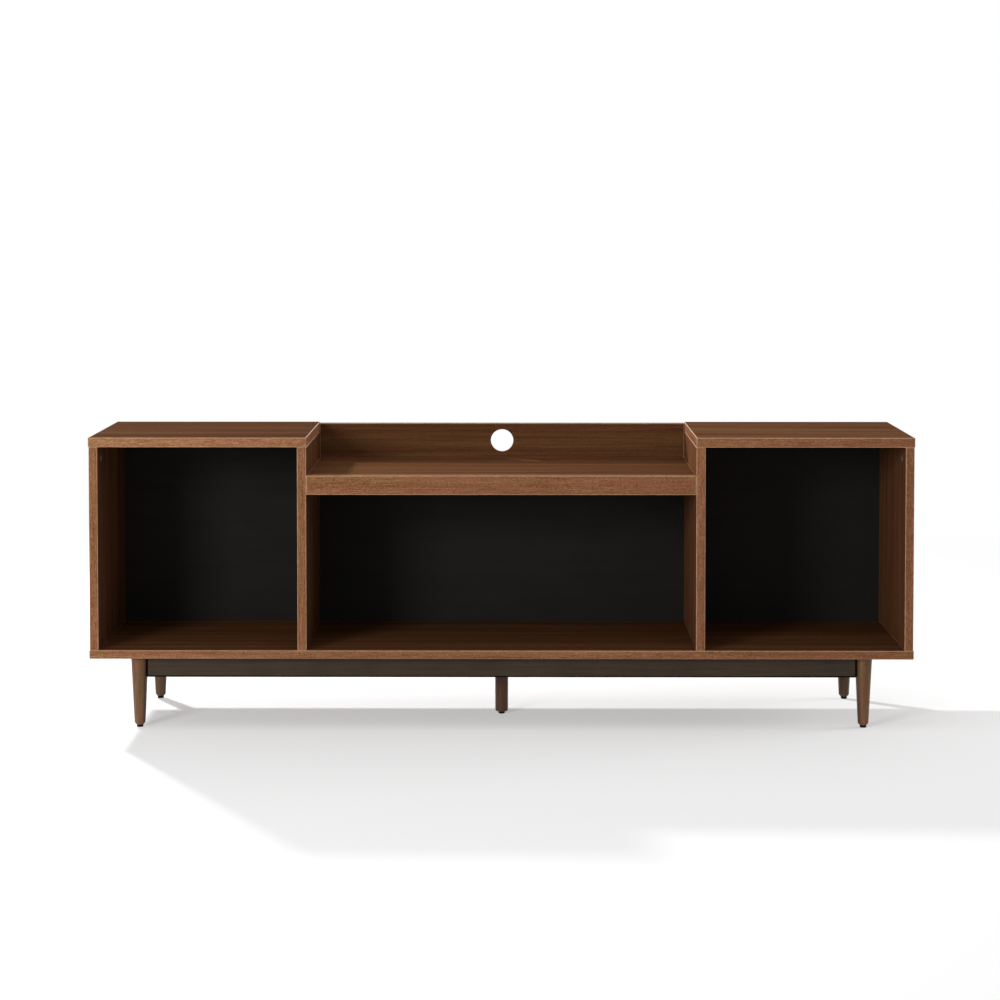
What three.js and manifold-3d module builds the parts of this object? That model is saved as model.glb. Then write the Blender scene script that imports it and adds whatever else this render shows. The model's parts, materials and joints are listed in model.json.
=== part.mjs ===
// Record cabinet on tapered legs: two end bays under their own tops, a wide middle bay, and a sunken
// deck between the tops. Millimetres, +Z up, front towards -Y, origin on the floor under the middle.

import * as THREE from 'three';
import { mergeVertices } from 'three/addons/utils/BufferGeometryUtils.js';
import Module from 'manifold-3d';

const wasm = await Module();
wasm.setup();

// Overall size
const cabinetWidth = 1715;
const cabinetDepth = 400;
const bodyHeight = 462;
const floorClearance = 150;

// Boards of the body
const sideThickness = 18;
const dividerThickness = 19;
const topThickness = 20;
const bottomThickness = 18;
const boardOverhang = 1;
const frontSetback = 1.5;
const arris = 0.8;

// Middle bay and the sunken deck over it
const middleOpening = 810;
const wellDepth = 79;
const deckThickness = 18;
const deckRailHeight = 40;
const deckRailThickness = 18;
const wellBackThickness = 15;
const wellBackDrop = 2;
const wellBackRebate = 3;
const cableHoleDiameter = 50;

// Thin backs and the grooves that hold them
const backThickness = 3;
const grooveDepth = 6;
const grooveInset = 10;

// Gaps: between flat faces that meet, and round what turns, screws or slides in
const seatGap = 0.2;
const fitGap = 0.3;
const overrun = 2;

// Base frame
const railHeight = 44;
const railThickness = 18;
const bearerWidth = 36;
const legInsetX = 99;
const legInsetY = 42;

// Corner legs
const legTopDiameter = 36.4;
const legEndDiameter = 22.5;
const legChamferHeight = 4.5;
const legFaceDiameter = 15.6;
const legFlat = 15;

// Centre leg
const centreLegTopDiameter = 28.4;
const centreLegEndDiameter = 27.4;
const centreLegChamferHeight = 2.5;
const centreLegFaceDiameter = 23;
const centreLegForward = 12;
const studDiameter = 8;
const studLength = 50;

// Levelling feet and the bushes that they screw into
const footHeight = 5;
const footDiameter = 14;
const footEase = 0.8;
const stemDiameter = 6;
const stemLength = 25;
const bushDiameter = 11;
const bushLength = 14;
const bushWaist = 0.8;

// Corner brackets and leg bolts
const bracketThickness = 2;
const bracketReach = 50;
const bracketWing = 24;
const bracketLip = 5;
const bracketHeightShare = 0.72;
const bracketScrewHole = 4.5;
const legBoltDiameter = 8;
const legBoltStart = 4;
const washerDiameter = 18;
const washerThickness = 1.6;
const boltHeadWidth = 13;
const boltHeadHeight = 5.3;

// Cam locks: a drum in the upright's face draws down a bolt that is screwed into the top
const camDiameter = 14.6;
const camInset = 55;
const camDrop = 28;
const camCoreRadius = 2.6;
const camWall = 1.4;
const camFloor = 1;
const camEntryTurn = 165;
const camCrossLength = 7;
const camCrossWidth = 1.4;
const camCrossDepth = 2.6;
const boltHeadDiameter = 6.4;
const boltHeadEdge = 0.5;
const boltNeckDiameter = 3.5;
const boltShankDiameter = 6;
const boltCollarDiameter = 7.2;
const boltCollarHeight = 2;
const boltThreadDiameter = 5;
const boltThreadLength = 11;
const boltBoreDiameter = 8;

// Facets round a full turn
const legSides = 28;
const camSides = 20;
const footSides = 14;
const boltSides = 10;
const trackSteps = 8;
const bushBands = 3;

// Levels and planes that follow from the sizes
const bottomTop = floorClearance + bottomThickness;
const bodyTop = floorClearance + bodyHeight;
const topUnderside = bodyTop - topThickness;
const uprightFoot = bottomTop + seatGap;
const uprightTop = topUnderside - seatGap;
const deckTop = bodyTop - wellDepth;
const deckUnderside = deckTop - deckThickness;
const wellBackFoot = deckTop - wellBackRebate;
const halfWidth = cabinetWidth / 2;
const halfDepth = cabinetDepth / 2;
const wellBackFront = halfDepth - wellBackThickness;
const uprightFront = frontSetback - halfDepth;
const sideOuter = halfWidth - boardOverhang;
const sideInner = sideOuter - sideThickness;
const dividerInner = middleOpening / 2;
const dividerOuter = dividerInner + dividerThickness;
const grooveBack = halfDepth - grooveInset;
const grooveFront = grooveBack - backThickness - 2 * fitGap;
const legX = halfWidth - legInsetX;
const legY = halfDepth - legInsetY;
const railBottom = floorClearance - railHeight;
const railTop = floorClearance - seatGap;
const railMiddle = (railBottom + railTop) / 2;
const legFaceLevel = footHeight + seatGap;
const camLevel = uprightTop - camDrop;
const bracketLine = railThickness / 2 + seatGap + bracketThickness / 2;

const walnut = finish('walnut', 0x74503a, 0.42, 0);
const walnutEdge = finish('walnut edge', 0x8f6547, 0.4, 0);
const stainedRail = finish('stained rail', 0x45382d, 0.6, 0);
const legWood = finish('leg wood', 0x70503a, 0.45, 0);
const hardboard = finish('hardboard', 0x1d1a18, 0.8, 0);
const zinc = finish('zinc', 0xb9babb, 0.42, 1);
const steel = finish('steel', 0x9a9c9e, 0.35, 1);
const brass = finish('brass', 0xb08d4c, 0.4, 1);
const blackPlastic = finish('black plastic', 0x151515, 0.55, 0);

function finish(name, color, roughness, metalness) {
  return new THREE.MeshStandardMaterial({ name, color, roughness, metalness });
}

// A closed geometry as a solid that can be cut or joined
function solidOf(geometry) {
  const bare = geometry.clone();
  bare.deleteAttribute('normal');
  bare.deleteAttribute('uv');
  const merged = mergeVertices(bare);
  const mesh = new wasm.Mesh({
    numProp: 3,
    vertProperties: merged.attributes.position.array,
    triVerts: new Uint32Array(merged.index.array),
  });
  return new wasm.Manifold(mesh);
}

function geometryOf(solid) {
  const mesh = solid.getMesh();
  const geometry = new THREE.BufferGeometry();
  geometry.setAttribute('position', new THREE.BufferAttribute(mesh.vertProperties, 3));
  geometry.setIndex(new THREE.BufferAttribute(mesh.triVerts, 1));
  geometry.computeVertexNormals();
  return geometry;
}

function cutFrom(geometry, cutters) {
  let solid = solidOf(geometry);
  for (const cutter of cutters) {
    solid = solid.subtract(solidOf(cutter));
  }
  return geometryOf(solid);
}

function piece(name, geometry, material) {
  const mesh = new THREE.Mesh(geometry, material);
  mesh.name = name;
  return mesh;
}

// The box between two values on each axis, in the cabinet's frame
function span(x0, x1, y0, y1, z0, z1) {
  return new THREE.Box3(new THREE.Vector3(x0, y0, z0), new THREE.Vector3(x1, y1, z1));
}

function plainBox(box) {
  const size = box.getSize(new THREE.Vector3());
  const middle = box.getCenter(new THREE.Vector3());
  return new THREE.BoxGeometry(size.x, size.y, size.z).translate(middle.x, middle.y, middle.z);
}

// A board with its twelve arrises eased, round its own middle
function easedBoard(size) {
  const x = size.x / 2;
  const y = size.y / 2;
  const outline = new THREE.Shape([
    new THREE.Vector2(arris - x, -y),
    new THREE.Vector2(x - arris, -y),
    new THREE.Vector2(x, arris - y),
    new THREE.Vector2(x, y - arris),
    new THREE.Vector2(x - arris, y),
    new THREE.Vector2(arris - x, y),
    new THREE.Vector2(-x, y - arris),
    new THREE.Vector2(-x, arris - y),
  ]);
  const geometry = new THREE.ExtrudeGeometry(outline, {
    depth: size.z - 2 * arris,
    bevelEnabled: true,
    bevelThickness: arris,
    bevelSize: arris,
    bevelOffset: -arris,
    bevelSegments: 1,
  });
  return geometry.translate(0, 0, arris - size.z / 2);
}

// A board that fills a box of the cabinet, cut by cutters given in the cabinet's frame
function board(name, box, material, cutters = []) {
  const middle = box.getCenter(new THREE.Vector3());
  const shifted = cutters.map((cutter) => cutter.translate(-middle.x, -middle.y, -middle.z));
  const mesh = piece(name, cutFrom(easedBoard(box.getSize(new THREE.Vector3())), shifted), material);
  mesh.position.copy(middle);
  return mesh;
}

// The space that a drill takes out, from a point on a face into the wood
function drilled(from, direction, diameter, depth, sides = boltSides) {
  const length = depth + overrun;
  const geometry = new THREE.CylinderGeometry(diameter / 2, diameter / 2, length, sides);
  geometry.translate(0, length / 2 - overrun, 0);
  const turn = new THREE.Quaternion().setFromUnitVectors(new THREE.Vector3(0, 1, 0), direction);
  return geometry.applyQuaternion(turn).translate(from.x, from.y, from.z);
}

// Uprights: side panels and dividers. facing is +1 or -1, the way along X that the cam locks' face looks.
function camBores(faceX, facing, thickness) {
  const inward = new THREE.Vector3(-facing, 0, 0);
  const down = new THREE.Vector3(0, 0, -1);
  const bores = [];
  for (const y of [camInset - halfDepth, halfDepth - camInset]) {
    const drum = new THREE.Vector3(faceX, y, camLevel);
    const edge = new THREE.Vector3(faceX - facing * thickness / 2, y, uprightTop);
    bores.push(drilled(drum, inward, camDiameter + 2 * fitGap, camDepth(thickness) + fitGap, camSides));
    bores.push(drilled(edge, down, boltBoreDiameter, camDrop));
  }
  return bores;
}

function faceGroove(faceX, facing, z0, z1) {
  const floorX = faceX - facing * grooveDepth;
  const mouthX = faceX + facing * overrun;
  return plainBox(span(Math.min(floorX, mouthX), Math.max(floorX, mouthX), grooveFront, grooveBack, z0, z1));
}

function sidePanel(name, side) {
  const inner = side * sideInner;
  const outer = side * sideOuter;
  const box = span(Math.min(inner, outer), Math.max(inner, outer), uprightFront, halfDepth, uprightFoot, uprightTop);
  const groove = faceGroove(inner, -side, uprightFoot - overrun, uprightTop + overrun);
  return board(name, box, walnut, [groove, ...camBores(inner, -side, sideThickness)]);
}

function divider(name, side) {
  const inner = side * dividerInner;
  const outer = side * dividerOuter;
  const box = span(Math.min(inner, outer), Math.max(inner, outer), uprightFront, halfDepth, uprightFoot, uprightTop);
  const bayGroove = faceGroove(outer, side, uprightFoot - overrun, uprightTop + overrun);
  const middleGroove = faceGroove(inner, -side, uprightFoot - overrun, deckUnderside + grooveDepth);
  return board(name, box, walnut, [bayGroove, middleGroove, ...camBores(outer, side, dividerThickness)]);
}

// The top of an end bay, from the outer end to the well, grooved and bored underneath
function bayTop(name, side) {
  const well = side * dividerInner;
  const end = side * halfWidth;
  const box = span(Math.min(well, end), Math.max(well, end), -halfDepth, halfDepth, topUnderside, bodyTop);
  const grooveEnds = [side * (sideInner + grooveDepth), side * (dividerOuter - grooveDepth)];
  const groove = plainBox(span(
    Math.min(...grooveEnds), Math.max(...grooveEnds),
    grooveFront, grooveBack,
    topUnderside - overrun, topUnderside + grooveDepth,
  ));
  const up = new THREE.Vector3(0, 0, 1);
  const holes = [];
  for (const x of [side * (sideOuter - sideThickness / 2), side * (dividerInner + dividerThickness / 2)]) {
    for (const y of [camInset - halfDepth, halfDepth - camInset]) {
      const mouth = new THREE.Vector3(x, y, topUnderside);
      holes.push(drilled(mouth, up, boltThreadDiameter + 2 * fitGap, boltThreadLength + fitGap));
    }
  }
  return board(name, box, walnut, [groove, ...holes]);
}

function bottomBoard() {
  const box = span(-halfWidth, halfWidth, -halfDepth, halfDepth, floorClearance, bottomTop);
  const reach = sideInner + grooveDepth;
  const groove = plainBox(span(-reach, reach, grooveFront, grooveBack, bottomTop - grooveDepth, bottomTop + overrun));
  return board('bottom_board', box, walnut, [groove]);
}

// The deck, rebated behind for the well's back, and the deeper rail along its front, level on top
function deck() {
  const half = dividerInner - seatGap;
  const railBack = uprightFront + deckRailThickness;
  const railBox = span(-half, half, uprightFront, railBack, deckTop - deckRailHeight, deckTop);
  const deckBox = span(-half, half, railBack + seatGap, halfDepth, deckUnderside, deckTop);
  const reach = half + overrun;
  const groove = plainBox(span(
    -reach, reach,
    grooveFront, grooveBack,
    deckUnderside - overrun, deckUnderside + grooveDepth,
  ));
  const rebate = plainBox(span(
    -reach, reach,
    wellBackFront - seatGap, halfDepth + overrun,
    wellBackFoot, deckTop + overrun,
  ));
  const group = new THREE.Group();
  group.add(board('deck_front_rail', railBox, walnutEdge));
  group.add(board('deck_panel', deckBox, walnut, [groove, rebate]));
  return group;
}

// The board behind the well stands in the deck's rebate; a round outlet lets cables through
function wellBack() {
  const half = dividerInner - seatGap;
  const head = bodyTop - wellBackDrop;
  const outletMouth = new THREE.Vector3(0, wellBackFront, (deckTop + head) / 2);
  const back = new THREE.Vector3(0, 1, 0);
  const outlet = drilled(outletMouth, back, cableHoleDiameter, wellBackThickness + overrun, legSides);
  const box = span(-half, half, wellBackFront, halfDepth, wellBackFoot + seatGap, head);
  return board('well_back_board', box, walnut, [outlet]);
}

// A thin back stands in the grooves all round
function thinBack(name, x0, x1, head) {
  const inset = grooveDepth - seatGap;
  const middleY = (grooveFront + grooveBack) / 2;
  const box = span(
    x0 - inset, x1 + inset,
    middleY - backThickness / 2, middleY + backThickness / 2,
    bottomTop - inset, head + inset,
  );
  const middle = box.getCenter(new THREE.Vector3());
  const mesh = piece(name, plainBox(box).translate(-middle.x, -middle.y, -middle.z), hardboard);
  mesh.position.copy(middle);
  return mesh;
}

function camDepth(thickness) {
  return thickness / 2 + boltHeadDiameter / 2 + fitGap + camFloor;
}

// A sector between two radii and two angles; the outer radius may grow along it
function sector(innerRadius, startRadius, endRadius, startDegrees, endDegrees) {
  const points = [];
  for (let step = 0; step <= trackSteps; step++) {
    const share = step / trackSteps;
    const angle = THREE.MathUtils.degToRad(THREE.MathUtils.lerp(startDegrees, endDegrees, share));
    const radius = THREE.MathUtils.lerp(startRadius, endRadius, share);
    points.push(new THREE.Vector2(Math.cos(angle), Math.sin(angle)).multiplyScalar(radius));
  }
  for (let step = trackSteps; step >= 0; step--) {
    const angle = THREE.MathUtils.degToRad(THREE.MathUtils.lerp(startDegrees, endDegrees, step / trackSteps));
    points.push(new THREE.Vector2(Math.cos(angle), Math.sin(angle)).multiplyScalar(innerRadius));
  }
  return new THREE.Shape(points);
}

function slab(shape, width, middle) {
  const geometry = new THREE.ExtrudeGeometry(shape, { depth: width, bevelEnabled: false });
  return geometry.translate(0, 0, middle - width / 2);
}

// The drum of a cam lock. Its axis is Z with the driver's cross at z = 0; the bolt comes along +Y.
// A track for the bolt's head winds inwards behind a slot for its neck, and starts at a round entry.
function camDrum(thickness) {
  const depth = camDepth(thickness);
  const radius = camDiameter / 2;
  const boltLine = -thickness / 2;
  const headTrack = boltHeadDiameter + 2 * fitGap;
  const neckSlot = boltNeckDiameter + 2 * fitGap;
  const boltTurn = 90;
  const entryTurn = boltTurn - camEntryTurn;
  const seatRadius = radius - camWall;
  const headPast = Math.atan2(headTrack / 2, camCoreRadius + fitGap);
  const neckPast = Math.atan2(neckSlot / 2, seatRadius);
  const drum = new THREE.CylinderGeometry(radius, radius, depth, camSides);
  drum.rotateX(Math.PI / 2).translate(0, 0, -depth / 2);
  const trackEnd = boltTurn + THREE.MathUtils.radToDeg(headPast);
  const slotEnd = boltTurn + THREE.MathUtils.radToDeg(neckPast);
  const track = sector(camCoreRadius, seatRadius + fitGap, seatRadius, entryTurn, trackEnd);
  const slot = sector(camCoreRadius, radius + overrun, radius + overrun, entryTurn, slotEnd);
  const entryAngle = THREE.MathUtils.degToRad(entryTurn);
  const entryWay = new THREE.Vector3(-Math.cos(entryAngle), -Math.sin(entryAngle), 0);
  const entryMouth = new THREE.Vector3(0, 0, boltLine).addScaledVector(entryWay, -radius);
  const cross = [];
  for (const turn of [0, Math.PI / 2]) {
    const arm = new THREE.BoxGeometry(camCrossLength, camCrossWidth, camCrossDepth + overrun);
    cross.push(arm.rotateZ(turn).translate(0, 0, (overrun - camCrossDepth) / 2));
  }
  return cutFrom(drum, [
    slab(track, headTrack, boltLine),
    slab(slot, neckSlot, boltLine),
    drilled(entryMouth, entryWay, headTrack, radius - camCoreRadius, camSides),
    ...cross,
  ]);
}

// A closed turned shape from [radius, height] pairs, listed from the foot to the head along the outside
function turned(pairs, sides) {
  return new THREE.LatheGeometry(pairs.map(([radius, height]) => new THREE.Vector2(radius, height)), sides);
}

// The bolt of a cam lock, along +Y, with the drum's axis at the origin
function camBolt() {
  const headFoot = camCoreRadius + fitGap;
  const headRadius = boltHeadDiameter / 2;
  const neckRadius = boltNeckDiameter / 2;
  const headTop = camDiameter / 2 - camWall - fitGap;
  const collarTop = camDrop;
  const threadTop = camDrop + seatGap + boltThreadLength;
  return turned([
    [0, headFoot],
    [headRadius - boltHeadEdge, headFoot],
    [headRadius, headFoot + boltHeadEdge],
    [neckRadius, headTop],
    [neckRadius, camDiameter / 2 + boltHeadEdge],
    [boltShankDiameter / 2, camDiameter / 2 + boltCollarHeight],
    [boltShankDiameter / 2, collarTop - boltCollarHeight],
    [boltCollarDiameter / 2, collarTop - boltCollarHeight],
    [boltCollarDiameter / 2, collarTop],
    [boltThreadDiameter / 2, collarTop],
    [boltThreadDiameter / 2, threadTop - boltHeadEdge],
    [boltThreadDiameter / 2 - boltHeadEdge, threadTop],
    [0, threadTop],
  ], boltSides);
}

// Cam locks of one upright, front and back
function camLocks(name, faceX, facing, thickness) {
  const group = new THREE.Group();
  const up = new THREE.Vector3(0, 0, 1);
  const out = new THREE.Vector3(facing, 0, 0);
  const basis = new THREE.Matrix4().makeBasis(new THREE.Vector3().crossVectors(up, out), up, out);
  const places = { front: camInset - halfDepth, back: halfDepth - camInset };
  for (const [end, y] of Object.entries(places)) {
    const drum = piece(`${name}_${end}_cam`, camDrum(thickness), zinc);
    drum.position.set(faceX, y, camLevel);
    drum.quaternion.setFromRotationMatrix(basis);
    const bolt = piece(`${name}_${end}_cam_bolt`, camBolt(), steel);
    bolt.position.set(faceX - facing * thickness / 2, y, camLevel);
    bolt.rotation.x = Math.PI / 2;
    group.add(drum, bolt);
  }
  return group;
}

// A tapered leg standing on its end face, bored below for the bush and the stem of its foot
function legShape(length, topDiameter, endDiameter, chamferHeight, faceDiameter) {
  const bushBore = bushDiameter / 2 + fitGap;
  const stemBore = stemDiameter / 2 + 2 * fitGap;
  const bushTop = bushLength + fitGap;
  const boreTop = stemLength + fitGap;
  return turned([
    [0, boreTop],
    [stemBore, boreTop],
    [stemBore, bushTop],
    [bushBore, bushTop],
    [bushBore, 0],
    [faceDiameter / 2, 0],
    [endDiameter / 2, chamferHeight],
    [topDiameter / 2, length],
    [0, length],
  ], legSides).rotateX(Math.PI / 2);
}

// A corner leg has two flats at its head where the rails end, and a bore on the diagonal for its bolt
function cornerLeg(name) {
  const length = railTop - legFaceLevel;
  const reach = legTopDiameter;
  const flatFoot = railBottom - seatGap - legFaceLevel;
  const flatHead = length + overrun;
  const diagonal = new THREE.Vector3(1, 1, 0).normalize();
  const boltMouth = diagonal.clone().multiplyScalar(legTopDiameter / 2);
  boltMouth.z = railMiddle - legFaceLevel;
  const mesh = piece(name, cutFrom(
    legShape(length, legTopDiameter, legEndDiameter, legChamferHeight, legFaceDiameter),
    [
      plainBox(span(legFlat, reach, -reach, reach, flatFoot, flatHead)),
      plainBox(span(-reach, reach, legFlat, reach, flatFoot, flatHead)),
      drilled(
        boltMouth, diagonal.clone().negate(),
        legBoltDiameter + 2 * fitGap, legTopDiameter / 2 - legBoltStart + fitGap,
      ),
    ],
  ), legWood);
  mesh.position.z = legFaceLevel;
  return mesh;
}

// A strip of even thickness along a bent line, with mitred bends
function stripShape(line, thickness) {
  const sides = { left: [], right: [] };
  line.forEach((point, index) => {
    const before = line[Math.max(index - 1, 0)];
    const after = line[Math.min(index + 1, line.length - 1)];
    const arriving = (index === 0 ? after.clone().sub(point) : point.clone().sub(before)).normalize();
    const leaving = (index === line.length - 1 ? arriving.clone() : after.clone().sub(point)).normalize();
    const mitre = new THREE.Vector2(-arriving.y - leaving.y, arriving.x + leaving.x);
    mitre.multiplyScalar(thickness / 2 / (1 + arriving.dot(leaving)));
    sides.left.push(point.clone().add(mitre));
    sides.right.unshift(point.clone().sub(mitre));
  });
  return new THREE.Shape([...sides.right, ...sides.left]);
}

// A steel plate bent across the corner, with lips in the rails' kerfs, a bolt hole and two screw holes
function cornerBracket(name) {
  const end = bracketReach + bracketWing;
  const lipEnd = railThickness / 2 - bracketLip;
  const line = [
    new THREE.Vector2(end, lipEnd),
    new THREE.Vector2(end, bracketLine),
    new THREE.Vector2(bracketReach, bracketLine),
    new THREE.Vector2(bracketLine, bracketReach),
    new THREE.Vector2(bracketLine, end),
    new THREE.Vector2(lipEnd, end),
  ];
  const height = railHeight * bracketHeightShare;
  const plate = slab(stripShape(line, bracketThickness), height, railMiddle);
  const diagonal = new THREE.Vector3(1, 1, 0).normalize();
  const hole = diagonal.clone().multiplyScalar((bracketReach + bracketLine) / Math.SQRT2 - bracketThickness);
  hole.z = railMiddle;
  const screwPlace = bracketReach + bracketWing / 2;
  const alongX = new THREE.Vector3(screwPlace, railThickness / 2, railMiddle);
  const alongY = new THREE.Vector3(railThickness / 2, screwPlace, railMiddle);
  const through = 2 * bracketThickness;
  return piece(name, cutFrom(plate, [
    drilled(hole, diagonal, legBoltDiameter + 2 * fitGap, through),
    drilled(alongX, new THREE.Vector3(0, 1, 0), bracketScrewHole, through),
    drilled(alongY, new THREE.Vector3(1, 0, 0), bracketScrewHole, through),
  ]), steel);
}

// The bolt through the bracket into the leg, with a washer flange and a six-sided head
function legBolt(name) {
  const seat = (bracketReach + bracketLine) / Math.SQRT2 + bracketThickness / 2 + seatGap;
  const flangeTop = seat + washerThickness;
  const shank = turned([
    [0, legBoltStart],
    [legBoltDiameter / 2 - boltHeadEdge, legBoltStart],
    [legBoltDiameter / 2, legBoltStart + boltHeadEdge],
    [legBoltDiameter / 2, seat],
    [washerDiameter / 2, seat],
    [washerDiameter / 2, flangeTop],
    [0, flangeTop],
  ], camSides);
  const acrossCorners = boltHeadWidth / Math.cos(Math.PI / 6);
  const headHeight = boltHeadHeight + washerThickness / 2;
  const head = new THREE.CylinderGeometry(acrossCorners / 2, acrossCorners / 2, headHeight, 6);
  head.translate(0, flangeTop - washerThickness / 2 + headHeight / 2, 0);
  const mesh = piece(name, geometryOf(solidOf(shank).add(solidOf(head))), steel);
  mesh.position.z = railMiddle;
  mesh.rotation.z = -Math.PI / 4;
  return mesh;
}

// A ribbed bush let into the leg's end, bored for the foot's stem
function footBush(name) {
  const outer = bushDiameter / 2;
  const inner = stemDiameter / 2 + fitGap;
  const waist = outer - bushWaist;
  const ribs = [[inner, 0], [outer, 0]];
  for (let band = 1; band < bushBands; band++) {
    const level = bushLength * band / bushBands;
    ribs.push([outer, level - bushWaist], [waist, level], [outer, level + bushWaist]);
  }
  ribs.push([outer, bushLength], [inner, bushLength], [inner, 0]);
  const mesh = piece(name, turned(ribs, footSides), brass);
  mesh.rotation.x = Math.PI / 2;
  mesh.position.z = legFaceLevel;
  return mesh;
}

// A levelling foot: a plastic pad on a steel stem, screwed fully home
function levellingFoot(name) {
  const pad = footDiameter / 2;
  const stem = stemDiameter / 2;
  const mesh = piece(name, turned([
    [0, 0],
    [pad - footEase, 0],
    [pad, footEase],
    [pad, footHeight - footEase],
    [pad - footEase, footHeight],
    [stem, footHeight],
    [stem, legFaceLevel + stemLength - footEase],
    [stem - footEase, legFaceLevel + stemLength],
    [0, legFaceLevel + stemLength],
  ], footSides), blackPlastic);
  mesh.rotation.x = Math.PI / 2;
  return mesh;
}

// One corner of the base, drawn for the corner whose rails run towards +X and +Y, then turned
function baseCorner(name, x, y, turn) {
  const group = new THREE.Group();
  group.add(cornerLeg(`${name}_leg`));
  group.add(footBush(`${name}_foot_bush`));
  group.add(levellingFoot(`${name}_foot`));
  group.add(cornerBracket(`${name}_bracket`));
  group.add(legBolt(`${name}_leg_bolt`));
  group.position.set(x, y, 0);
  group.rotation.z = turn;
  return group;
}

// The bore of a corner's leg bolt, which grazes the inner corners of both rails; ways are +1 or -1
function legBoltBore(wayX, wayY) {
  const outward = new THREE.Vector3(wayX, wayY, 0).normalize();
  const leg = new THREE.Vector3(wayX * legX, wayY * legY, railMiddle);
  const depth = (bracketReach + bracketLine) / Math.SQRT2;
  const mouth = leg.addScaledVector(outward, -depth);
  return drilled(mouth, outward, legBoltDiameter + 2 * fitGap, depth);
}

// Rails run between the legs' flats, with a kerf near each end for the bracket's lip
function baseRails() {
  const group = new THREE.Group();
  const half = railThickness / 2;
  const kerfHalf = bracketThickness / 2 + fitGap;
  const kerfPlace = bracketReach + bracketWing;
  const kerfFloor = half - bracketLip - fitGap;
  const low = railBottom - overrun;
  const high = railTop + overrun;
  for (const [name, side] of [['front', -1], ['back', 1]]) {
    const reach = legX - legFlat - seatGap;
    const middle = side * legY;
    const kerfs = [-1, 1].map((end) => {
      const place = end * (legX - kerfPlace);
      const walls = [middle - side * kerfFloor, middle - side * (half + overrun)];
      return plainBox(span(place - kerfHalf, place + kerfHalf, Math.min(...walls), Math.max(...walls), low, high));
    });
    const box = span(-reach, reach, middle - half, middle + half, railBottom, railTop);
    const bores = [legBoltBore(-1, side), legBoltBore(1, side)];
    group.add(board(`${name}_base_rail`, box, stainedRail, [...kerfs, ...bores]));
  }
  for (const [name, side] of [['left', -1], ['right', 1]]) {
    const reach = legY - legFlat - seatGap;
    const middle = side * legX;
    const kerfs = [-1, 1].map((end) => {
      const place = end * (legY - kerfPlace);
      const walls = [middle - side * kerfFloor, middle - side * (half + overrun)];
      return plainBox(span(Math.min(...walls), Math.max(...walls), place - kerfHalf, place + kerfHalf, low, high));
    });
    const box = span(middle - half, middle + half, -reach, reach, railBottom, railTop);
    const bores = [legBoltBore(side, -1), legBoltBore(side, 1)];
    group.add(board(`${name}_base_rail`, box, stainedRail, [...kerfs, ...bores]));
  }
  return group;
}

// The bearer under the middle of the body, and the leg that a stud holds under it
function centreSupport() {
  const group = new THREE.Group();
  const reach = legY - railThickness / 2 - seatGap;
  const studMiddle = railBottom;
  const studFoot = studMiddle - studLength / 2;
  const studHole = studDiameter + 2 * fitGap;
  const holeDepth = studLength / 2 + fitGap;
  const up = new THREE.Vector3(0, 0, 1);
  const box = span(-bearerWidth / 2, bearerWidth / 2, -reach, reach, railBottom, railTop);
  const mouth = new THREE.Vector3(0, -centreLegForward, railBottom);
  group.add(board('centre_bearer', box, stainedRail, [drilled(mouth, up, studHole, holeDepth)]));
  const length = railBottom - seatGap - legFaceLevel;
  const shape = legShape(
    length, centreLegTopDiameter, centreLegEndDiameter, centreLegChamferHeight, centreLegFaceDiameter,
  );
  const head = new THREE.Vector3(0, 0, length);
  const leg = piece('centre_leg', cutFrom(shape, [drilled(head, up.clone().negate(), studHole, holeDepth)]), legWood);
  leg.position.z = legFaceLevel;
  const support = new THREE.Group();
  support.position.y = -centreLegForward;
  const stud = piece('centre_leg_stud', turned([
    [0, 0],
    [studDiameter / 2 - boltHeadEdge, 0],
    [studDiameter / 2, boltHeadEdge],
    [studDiameter / 2, studLength - boltHeadEdge],
    [studDiameter / 2 - boltHeadEdge, studLength],
    [0, studLength],
  ], boltSides), steel);
  stud.rotation.x = Math.PI / 2;
  stud.position.z = studFoot;
  support.add(leg, stud, footBush('centre_foot_bush'), levellingFoot('centre_foot'));
  group.add(support);
  return group;
}

function body() {
  const group = new THREE.Group();
  group.add(bottomBoard());
  for (const [name, side] of [['left', -1], ['right', 1]]) {
    group.add(sidePanel(`${name}_side_panel`, side));
    group.add(divider(`${name}_divider`, side));
    group.add(bayTop(`${name}_top`, side));
    group.add(camLocks(`${name}_side`, side * sideInner, -side, sideThickness));
    group.add(camLocks(`${name}_divider`, side * dividerOuter, side, dividerThickness));
  }
  group.add(deck());
  group.add(wellBack());
  group.add(thinBack('left_bay_back', -sideInner, -dividerOuter, topUnderside));
  group.add(thinBack('middle_bay_back', -dividerInner, dividerInner, deckUnderside));
  group.add(thinBack('right_bay_back', dividerOuter, sideInner, topUnderside));
  return group;
}

function base() {
  const group = new THREE.Group();
  group.add(baseRails());
  group.add(baseCorner('front_left', -legX, -legY, 0));
  group.add(baseCorner('front_right', legX, -legY, Math.PI / 2));
  group.add(baseCorner('back_right', legX, legY, Math.PI));
  group.add(baseCorner('back_left', -legX, legY, -Math.PI / 2));
  group.add(centreSupport());
  return group;
}

const cabinet = new THREE.Group();
cabinet.add(body(), base());

export default cabinet;
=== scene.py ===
# Record cabinet on tapered legs, with a sunken deck between two tops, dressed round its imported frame.
# Metres, +Z up, the open front towards -Y.
import json
import math

import bmesh
import bpy
from mathutils import Matrix, Vector


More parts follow.
